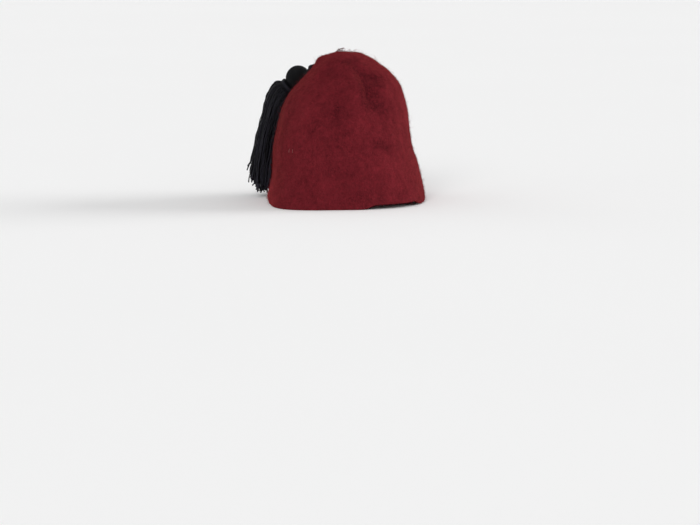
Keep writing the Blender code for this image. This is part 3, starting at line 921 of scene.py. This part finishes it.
# The tassel's head
# A ball with the tassel's own threads drawn over it side by side, from the end
# of the cord down to the neck, where the binding gathers them.
HEAD_RADIUS = 13.4
HEAD_MIDDLE = np.array([-50.2, 48.2, 126.6])
NECK_MIDDLE = np.array([-59.8, 51.0, 117.0])
NECK_RADIUS = 8.6
HEAD_THREADS = 40
HEAD_COLUMNS = 12  # grid columns to a thread
HEAD_RINGS = 44
HEAD_TWIST = 0.35
HEAD_TOP = 0.12  # the angle from its top to its first ring, in radians
NECK_RINGS = (1.2, 3.0, 5.0)  # how far they are past the end of the ball
NECK_DRAWN_IN = 0.97  # of its radius, under the binding
HEAD_POLE = 0.99  # how far out its pole lies, of its radius
THREAD_WANDER = 0.35  # thread widths
WANDERS_ROUND = 3  # waves of it round the ball
WANDERS_LEAN = 5.0  # radians from the top to the neck
THREAD_UNEVEN = 0.16
HEAD_SEED = 17
tassel_axis = unit(NECK_MIDDLE - HEAD_MIDDLE)


def add_head():
    """A sphere from its top to the neck's radius, then the neck: r is that less the
    grooves between threads, each thread a half circle as wide as its share of the
    ring. Uneven widths come from bending the angle, uneven heights from a draw."""
    draw = np.random.default_rng(HEAD_SEED)
    neck_turn = math.pi - math.asin(NECK_RADIUS / HEAD_RADIUS)
    turn = np.linspace(HEAD_TOP, neck_turn, HEAD_RINGS)
    neck = NECK_RADIUS * NECK_DRAWN_IN
    reach = np.array([*HEAD_RADIUS * np.sin(turn), *[neck] * len(NECK_RINGS)])
    neck_end = -HEAD_RADIUS * math.cos(neck_turn)
    along = np.array([*-HEAD_RADIUS * np.cos(turn), *neck_end + np.array(NECK_RINGS)])
    columns = np.arange(HEAD_THREADS * HEAD_COLUMNS) / HEAD_COLUMNS
    climb = np.linspace(0, 1, len(reach))[:, None]
    round_ball = 2 * math.pi * columns / HEAD_THREADS
    wander = np.sin(WANDERS_ROUND * round_ball + WANDERS_LEAN * climb)
    phase = columns + THREAD_WANDER * wander
    high = draw.uniform(-THREAD_UNEVEN, THREAD_UNEVEN, HEAD_THREADS)
    high = high[np.floor(columns).astype(int)]
    width = 2 * math.pi * reach / HEAD_THREADS
    groove = (1 - ridges(columns)) * width[:, None] / 2
    lifted = high * ridges(columns) * np.clip(reach / HEAD_RADIUS, 0, 1)[:, None]
    angle = 2 * math.pi * phase / HEAD_THREADS + HEAD_TWIST * climb
    rings = (
        HEAD_MIDDLE
        + tassel_axis * along[:, None, None]
        + spokes(tassel_axis, angle) * (reach[:, None] - groove + lifted)[..., None]
    )
    top = HEAD_MIDDLE - tassel_axis * HEAD_RADIUS * HEAD_POLE
    points, faces = closed_grid(rings, top, HEAD_MIDDLE + tassel_axis * along[-1])
    return add_mesh("tassel_head", points, faces, laid_thread, "tassel_thread")


head = add_head()
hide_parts("tassel")

# The neck binding
# Black thread wound tightly round the neck in two layers, which keeps the
# tassel's threads together under the ball.
BINDING_WIDTH = 3.9
BINDING_INSIDE = 8.95
BINDING_TURNS = 5  # in each of its layers
BINDING_THREAD = 0.86
BINDING_STEPS = 40  # to a turn
BINDING_SIDES = 8
BINDING_BULGE = 0.35
BINDING_CLIMB = (0.46, 0.52)  # where along its length the thread climbs to its second layer
LAYER_HEIGHT = 0.8  # of a thread's width: the second layer sinks into the first
BINDING_SHADE = 14.0


def strands(paths, radii, facings, sides):
    """Round threads as points and faces: at each point of a path a ring of sides
    stands square to it, counted from its facing, and both ends are closed."""
    count, steps = paths.shape[:2]
    along = unit(np.gradient(paths, axis=1))
    first = unit(facings - along * (facings * along).sum(axis=2, keepdims=True))
    second = np.cross(along, first)
    around = 2 * math.pi * np.arange(sides) / sides
    middle, first, second = (part[:, :, None] for part in (paths, first, second))
    rings = ringed(middle, first, second, radii[:, :, None], around)
    points = np.concatenate([rings.reshape(count, -1, 3), paths[:, :1], paths[:, -1:]], axis=1)
    start = np.arange(count)[:, None, None] * points.shape[1]
    faces = (start + grid_faces(steps, sides), start + pole_faces(steps, sides))
    return points.reshape(-1, 3), [group.reshape(-1, group.shape[2]) for group in faces]


def strand_map(count, steps, sides, shades):
    """The tube's map for each thread, drawn in to the column of the map that has its
    shade."""
    parts = [np.tile(part, (count, 1, 1)) for part in tube_map(steps, sides)]
    for part in parts:
        part[..., 0] = (0.1 + 0.8 * part[..., 0] + shades[:, None]) / SHADES
    return np.concatenate([part.reshape(-1, 2) for part in parts])


# Loose thread has the same black and grey, with painted shade that darkens it towards
# the neck and leaves it lighter towards its ends, and the twist of its plies across it.
# Real plies lie under 1 mm apart, too fine to show, so they are drawn coarser.
FALL = 115.0  # the length of a thread, near enough for its twist and its crimp
PLY_SPACING = 2.509  # along a thread
PLY_LEAN = 0.796  # plies to a column of the map, which makes them lean
PLY_DEPTH = 0.12


def hanging_thread():
    """The shade is read across the map, and the twist up it."""
    material = black_thread("black tassel thread", 0.44)
    place, across, up = map_places(material)
    sockets = {0: across, 6: linear(THREAD_BLACK), 7: linear(THREAD_GREY)}
    dyed = add_node(material, "ShaderNodeMix", sockets, data_type="RGBA").outputs[2]
    # painted shade: the thread darker towards the neck, lighter towards its ends
    colour = brightened(material, dyed, up, 0.35, 1.25)
    length = FALL / (MAP_ENDS[1] - MAP_ENDS[0])
    sockets = {"Vector": place, "Scale": (SHADES * PLY_LEAN, length / PLY_SPACING, 1)}
    plies = add_node(material, "ShaderNodeMapping", sockets).outputs["Vector"]
    sockets = {"Vector": plies, "Scale": WAVE_BAND, "Distortion": 0.3}
    twist = add_node(material, "ShaderNodeTexWave", sockets, bands_direction="DIAGONAL")
    sockets = {"Height": twist.outputs["Fac"], "Strength": 0.45, "Distance": PLY_DEPTH * METRES}
    bump = add_node(material, "ShaderNodeBump", sockets)
    return finished(material, colour, bump.outputs["Normal"])


loose_thread = hanging_thread()


def add_binding():
    """A thread wound to one end of the neck and back over itself: a helix whose radius
    swells with the square root of a half wave, as the solid ring's does."""
    share = np.linspace(0, 1, BINDING_TURNS * 2 * BINDING_STEPS)
    to_and_fro = 1 - np.abs(1 - 2 * share)
    along = (to_and_fro - 0.5) * (BINDING_WIDTH - BINDING_THREAD)
    layer = np.interp(share, BINDING_CLIMB, (0, LAYER_HEIGHT))
    bulge = BINDING_BULGE * np.sqrt(np.sin(math.pi * np.clip(to_and_fro, 0.02, 0.98)))
    reach = BINDING_INSIDE + BINDING_THREAD * (0.5 + layer) + bulge
    spoke = spokes(tassel_axis, 2 * math.pi * 2 * BINDING_TURNS * share)
    path = NECK_MIDDLE + tassel_axis * along[:, None] + spoke * reach[:, None]
    radii = np.full((1, len(share)), BINDING_THREAD / 2)
    points, faces = strands(path[None], radii, spoke[None], BINDING_SIDES)
    places = strand_map(1, len(share), BINDING_SIDES, np.array([BINDING_SHADE]))
    binding = add_mesh(
        "neck_binding_thread", points, faces, loose_thread, "binding_thread", places
    )
    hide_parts("neck_binding")


add_binding()

# The tassel's skirt
# Some hundreds of threads that leave the binding, arch over and hang down the
# wall. They gather into loose locks, wander a little and end unevenly cut.
THREADS = 440
THREAD_TURN = (math.sqrt(5) - 1) / 2  # turns from thread to thread, which spread them evenly
THREAD_POINTS = 44
THREAD_RADIUS = (0.34, 0.54)  # at the neck and below
STRAND_SIDES = 4
CRIMP = 0.34
CRIMP_LENGTH = (7.5, 16.0)
CROWDED_OUT = 0.28  # the lower, the more of the threads lie at the outside
LOCKS = 11
GATHERED = 0.65  # how far the threads of a lock have moved to its middle at the ends
WANDER = 1.3
WANDER_WAVES = (0.6, 3.2)  # in the length of the skirt
END_SLANT = 21.0  # the outermost threads are cut this much higher than those at the wall
# How much lower each lock ends at its crest
END_STEPS = (0.0, 1.7, -0.6, 1.0, -1.3, 0.5, 1.5, -0.4, 1.2, -0.9, 0.7)
END_HEIGHT = 11.2
END_SCATTER = 2.8
END_LIMITS = (2.5, 60.0)
END_FLARE = 2.6
FLARE_FROM = 0.87  # the share of a thread's length above its flaring end
END_FRAYED = 1.35  # how much thicker the threads are at their cut ends
FRAYED_FROM = 0.93
STRAYS = 0.04  # the share of threads that end higher up, and hang more loosely
STRAYS_RAISED = (4, 55)
STRAYS_LOOSE = 1.6
THREAD_UNEVENNESS = (0.85, 1.12)
THREAD_TONE = (0.45, 0.35)  # the middle and the spread of its shade
FELT_GRID = (144, 96)  # columns and rings, fine enough to keep threads off the felt
FELT_LOTS = 16  # in which the threads' points are measured to it, to spare memory
CORE_SIZE = 0.8  # of the skirt's
CORE_ROWS = (0.2, 8.4)  # of the table of sections
CORE_RINGS = 40
CORE_COLUMNS = 12  # to a lock
SKIRT_FACING = 160.0
SKIRT_SEED = 23

# The middle of each section of the skirt, its half sizes along the wall and out
# from it, and how deep the grooves between its locks are, as a share of those.
SkirtSection = namedtuple("SkirtSection", "right back up across out groove")
SKIRT_SECTIONS = (
    SkirtSection(-58.2, 50.5, 118.6, 8.5, 8.5, 0.00),
    SkirtSection(-61.5, 51.5, 115.3, 9.3, 10.4, 0.00),
    SkirtSection(-64.0, 52.1, 112.8, 11.6, 15.4, 0.01),
    SkirtSection(-67.9, 52.1, 108.4, 12.9, 16.2, 0.02),
    SkirtSection(-73.2, 51.4, 100.6, 13.8, 14.3, 0.04),
    SkirtSection(-78.0, 49.8, 86.0, 14.4, 11.9, 0.05),
    SkirtSection(-84.1, 48.0, 64.0, 15.0, 11.6, 0.07),
    SkirtSection(-88.3, 47.0, 40.0, 16.0, 12.1, 0.10),
    SkirtSection(-90.0, 46.6, 22.0, 16.8, 12.6, 0.14),
    SkirtSection(-89.8, 46.6, 13.0, 16.4, 11.8, 0.18),
    SkirtSection(-89.3, 46.5, 2.0, 15.9, 10.9, 0.22),
)


def skirt_at(at):
    """Middle, the directions along the wall and out from it, and the sizes of the
    skirt's sections, at positions counted in table rows."""
    table = np.array(SKIRT_SECTIONS, float)
    right, back, up, across, out, groove = (spline(column, at) for column in table.T)
    middle = np.stack([right, back, up], axis=-1)
    fine = np.linspace(0, len(table) - 1, CURVE_STEPS)
    line = np.stack([spline(column, fine) for column in table.T[:3]], axis=1)
    slope = np.gradient(line, axis=0)
    down = unit(np.stack([np.interp(at, fine, column) for column in slope.T], axis=-1))
    facing = math.radians(SKIRT_FACING)
    wall = unit(np.cross(down, (math.cos(facing), math.sin(facing), 0)))
    return middle, wall, np.cross(wall, down), across, out, groove


def off_the_felt(paths, gap):
    """The paths with points nearer to the felt than the gap moved out to it, along
    the normal n of the felt's nearest grid point q: p + n (gap - (p - q) n)."""
    rings = crown_outside(*FELT_GRID)[0]
    tassel_side = rings[..., 0] < -CORD_DIAMETER
    felt, normals = rings[tassel_side], outward(rings)[tassel_side]
    moved = []
    for points in np.array_split(paths.reshape(-1, 3), FELT_LOTS):
        apart = (felt**2).sum(axis=1) - 2 * points @ felt.T
        nearest = apart.argmin(axis=1)
        off = ((points - felt[nearest]) * normals[nearest]).sum(axis=1)
        moved.append(points + normals[nearest] * np.clip(gap - off, 0, None)[:, None])
    return np.concatenate(moved).reshape(paths.shape)


def add_skirt():
    """Each thread keeps its own angle and depth in the bundle, drawn at random but
    crowded to the outside, while its lock's groove, gathering and a wandering sum
    of slow waves move it. It ends at its own height."""
    draw = np.random.default_rng(SKIRT_SEED)
    angle = 2 * math.pi * (np.arange(THREADS) * THREAD_TURN % 1)
    depth = draw.random(THREADS) ** CROWDED_OUT
    phase = angle * LOCKS / (2 * math.pi)
    crest = np.abs(np.sin(math.pi * phase))
    step = np.array(END_STEPS)[np.floor(phase).astype(int) % LOCKS]
    outermost = np.clip(np.sin(angle) * depth, 0, 1)
    end_height = END_HEIGHT - step * crest + END_SLANT * outermost**1.5
    end_height = np.clip(end_height + draw.normal(0, END_SCATTER, THREADS), *END_LIMITS)
    stray = draw.random(THREADS) < STRAYS
    raised = draw.uniform(*STRAYS_RAISED, THREADS)
    end_height = np.where(stray, end_height + raised, end_height)
    rows = np.linspace(0, len(SKIRT_SECTIONS) - 1, CURVE_STEPS)
    heights = skirt_at(rows)[0][:, 2]
    last_row = np.interp(-end_height, -heights, rows)
    share = np.linspace(0, 1, THREAD_POINTS)
    at = last_row[:, None] * share
    middle, wall, out, across, deep, groove = skirt_at(at)
    fallen = np.clip(at / (len(SKIRT_SECTIONS) - 1), 0, 1)
    gather = GATHERED * fallen * np.sin(2 * math.pi * phase)[:, None] / (2 * math.pi)
    turn = angle[:, None] + 2 * math.pi / LOCKS * gather
    lobe = depth[:, None] * (1 - groove * (1 - crest[:, None]))
    inset = THREAD_RADIUS[1]
    paths = (
        middle
        + wall * ((across - inset) * lobe * np.cos(turn))[..., None]
        + out * ((deep - inset) * lobe * np.sin(turn))[..., None]
    )
    waves = draw.uniform(*WANDER_WAVES, (2, 3, THREADS, 1))
    starts = draw.uniform(0, 2 * math.pi, (2, 3, THREADS, 1))
    sizes = draw.normal(0, WANDER, (2, 3, THREADS, 1)) / waves
    astray = np.sin(2 * math.pi * waves * fallen + starts) - np.sin(starts)
    drift = (sizes * astray).sum(axis=1) * fallen**1.2
    drift *= np.where(stray, STRAYS_LOOSE, 1)[:, None]
    crimps = 2 * math.pi * share * FALL / draw.uniform(*CRIMP_LENGTH, (2, THREADS, 1))
    crimp = np.sin(crimps + draw.uniform(0, 2 * math.pi, (2, THREADS, 1)))
    crimp = CRIMP * crimp * np.clip(4 * fallen, 0, 1)
    flaring = np.clip((share - FLARE_FROM) / (1 - FLARE_FROM), 0, 1) ** 1.5
    aside = crimp + END_FLARE * draw.normal(0, 1, (2, THREADS, 1)) * flaring
    aside += drift * np.array([1, 0.6])[:, None, None]
    paths = paths + wall * aside[0][..., None] + out * aside[1][..., None]
    paths = off_the_felt(paths, THREAD_RADIUS[1] + CLEARANCE)
    radii = np.interp(fallen, (0, 0.25, 1), (*THREAD_RADIUS, THREAD_RADIUS[1]))
    frayed = 1 + (END_FRAYED - 1) * np.clip((share - FRAYED_FROM) / (1 - FRAYED_FROM), 0, 1)
    radii = radii * draw.uniform(*THREAD_UNEVENNESS, (THREADS, 1)) * frayed
    facings = out + 0.01  # a little aside, so that no thread runs along its own facing
    points, faces = strands(paths, radii, facings, STRAND_SIDES)
    tone = np.clip(THREAD_TONE[0] + draw.normal(0, THREAD_TONE[1], THREADS), 0, 0.999)
    places = strand_map(THREADS, THREAD_POINTS, STRAND_SIDES, np.floor(tone * SHADES))
    return add_mesh("tassel_threads", points, faces, loose_thread, "tassel_thread", places)


def add_shade_core():
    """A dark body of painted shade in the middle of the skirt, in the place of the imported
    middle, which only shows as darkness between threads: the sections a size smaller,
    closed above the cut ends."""
    at = np.linspace(*CORE_ROWS, CORE_RINGS)
    middle, wall, out, across, deep, groove = (part[:, None] for part in skirt_at(at))
    turn = np.linspace(0, 2 * math.pi, LOCKS * CORE_COLUMNS, endpoint=False)
    lobe = CORE_SIZE * (1 - groove * (1 - np.abs(np.sin(LOCKS * turn / 2))))
    right, up = across * lobe * np.cos(turn), deep * lobe * np.sin(turn)
    rings = middle + wall * right[..., None] + out * up[..., None]
    points, faces = closed_grid(rings, middle[0, 0], middle[-1, 0])
    return add_mesh("tassel_shade_core", points, faces, laid_thread, "tassel_thread")


skirt = add_skirt()
add_shade_core()
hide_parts("tassel")

# The floor
# A wide pale studio floor that curves up into a low backdrop far behind, so no
# edge of it shows from the side. Its sizes are in metres.
FLOOR_INSIDE = 0.5  # the first ring, how far the floor lies flat, and how far it reaches
FLOOR_FLAT = 5.0
FLOOR_REACH = 12.0
FLOOR_RINGS = 24
FLOOR_COLUMNS = 64
BACKDROP_HEIGHT = 1.0
FLOOR_WHITE = "F8F8F8"
FLOOR_GREY = "F6F6F6"
FLOOR_CLOUD = 667.0  # millimetres across


def pale_floor():
    """Matt white paint, clouded so faintly that it only keeps from looking flat."""
    sockets = {"Roughness": 0.85, "Specular IOR Level": 0.15}
    material = new_material("pale painted floor", sockets)
    place = add_node(material, "ShaderNodeTexCoord").outputs["Object"]
    sockets = {"Vector": place, "Scale": per_metre(FLOOR_CLOUD), "Detail": 4}
    cloud = add_node(material, "ShaderNodeTexNoise", sockets).outputs["Fac"]
    sockets = {0: cloud, 6: linear(FLOOR_GREY), 7: linear(FLOOR_WHITE)}
    colour = add_node(material, "ShaderNodeMix", sockets, data_type="RGBA").outputs[2]
    return finished(material, colour)


def add_floor():
    """A round sheet: rings at even steps out, raised past the flat part by the square
    of how far they are along the slope."""
    turn = np.linspace(0, 2 * math.pi, FLOOR_COLUMNS, endpoint=False)
    reach = np.linspace(FLOOR_FLAT, FLOOR_REACH, FLOOR_RINGS)
    reach = np.array([FLOOR_INSIDE, *reach])[:, None]
    slope = np.clip((reach - FLOOR_FLAT) / (FLOOR_REACH - FLOOR_FLAT), 0, 1)
    sides = (reach * np.cos(turn), reach * np.sin(turn), BACKDROP_HEIGHT * slope**2 + 0 * turn)
    points = [*np.stack(sides, axis=2).reshape(-1, 3).tolist(), (0, 0, 0)]
    sheets = grid_faces(len(reach), FLOOR_COLUMNS)[:, ::-1]
    middle = pole_faces(len(reach), FLOOR_COLUMNS)[:FLOOR_COLUMNS, ::-1]
    mesh = bpy.data.meshes.new("studio_floor")
    mesh.from_pydata(points, [], sheets.tolist() + middle.tolist())
    mesh.shade_smooth()
    mesh.materials.append(pale_floor())
    add_object("studio_floor", mesh)


add_floor()

# The light
# A white room, one broad key a little left of the front, and two low soft lights
# from the right and from behind on the left, which edge the felt's nap.
WORLD_STRENGTH = 0.57
SoftLight = namedtuple("SoftLight", "name azimuth rise strength spread")
SOFT_LIGHTS = (
    SoftLight("key", -12.0, 27.0, 1.3, 26.0),
    SoftLight("right_edge", 98.0, 12.0, 2.7, 40.0),
    SoftLight("left_edge", -125.0, 14.0, 0.25, 40.0),
)


def add_soft_light(soft):
    """A distant light as wide as its spread. Azimuth 0 is in front of the hat, and 90
    on its right."""
    light = bpy.data.lights.new(soft.name, "SUN")
    light.energy = soft.strength
    light.angle = math.radians(soft.spread)
    lamp = add_object(soft.name, light)
    azimuth, rise = math.radians(soft.azimuth), math.radians(soft.rise)
    level = math.cos(rise)
    source = Vector((math.sin(azimuth) * level, -math.cos(azimuth) * level, math.sin(rise)))
    lamp.rotation_euler = source.to_track_quat("Z", "Y").to_euler()


world = bpy.data.worlds.new("white room")
world.use_nodes = True
backdrop = world.node_tree.nodes["Background"]
backdrop.inputs["Color"].default_value = (1.0, 1.0, 1.0, 1.0)
backdrop.inputs["Strength"].default_value = WORLD_STRENGTH
bpy.context.scene.world = world
for soft_light in SOFT_LIGHTS:
    add_soft_light(soft_light)
bpy.context.scene.view_settings.view_transform = "Standard"

# The camera
# It looks down a little at the crown from 3 m. Its sizes are in metres, and lines
# of sight are counted in pixels of a 700 by 525 picture, above whose centre the
# crown's middle sits.
CAMERA_DISTANCE = 3.0
CAMERA_RISE = 5.0
CAMERA_ROLL = 0.7
PICTURE_WIDTH, PICTURE_HEIGHT = 700, 525
PIXEL_SIZE = 1.06 * METRES  # on the crown
MIDDLE_AT = (345.6, 126.4)  # the pixel of the point that the camera is placed by
MIDDLE = np.array([0.0, 0.0, 0.078])
SENSOR_WIDTH = 36.0


def photograph_camera():
    """A camera on a sphere round the crown's middle, turned so that the middle falls
    on its pixel, then rolled about the line of sight to it."""
    focal = CAMERA_DISTANCE / PIXEL_SIZE
    rise = math.radians(CAMERA_RISE)
    place = MIDDLE + CAMERA_DISTANCE * np.array([0, -math.cos(rise), math.sin(rise)])
    sight = (MIDDLE - place) / CAMERA_DISTANCE
    right = np.array([1.0, 0.0, 0.0])
    up = np.cross(right, sight)
    pitch = math.atan((PICTURE_HEIGHT / 2 - MIDDLE_AT[1]) / focal)
    yaw = math.atan((MIDDLE_AT[0] - PICTURE_WIDTH / 2) / focal)
    ahead = sight * math.cos(pitch) - up * math.sin(pitch)
    up = np.cross(right, ahead)
    ahead = ahead * math.cos(yaw) - right * math.sin(yaw)
    right = np.cross(ahead, up)
    up = np.cross(right, ahead)
    turned = Matrix(np.stack([right, up, -ahead], axis=1).tolist()).to_4x4()
    rolled = Matrix.Rotation(math.radians(CAMERA_ROLL), 4, Vector(sight))
    lens = bpy.data.cameras.new("photograph")
    lens.sensor_width = SENSOR_WIDTH
    lens.lens = focal * SENSOR_WIDTH / PICTURE_WIDTH
    lens.clip_end = 100.0
    camera = add_object("photograph", lens)
    camera.matrix_world = Matrix.Translation(Vector(place)) @ rolled @ turned
    bpy.context.scene.camera = camera


photograph_camera()
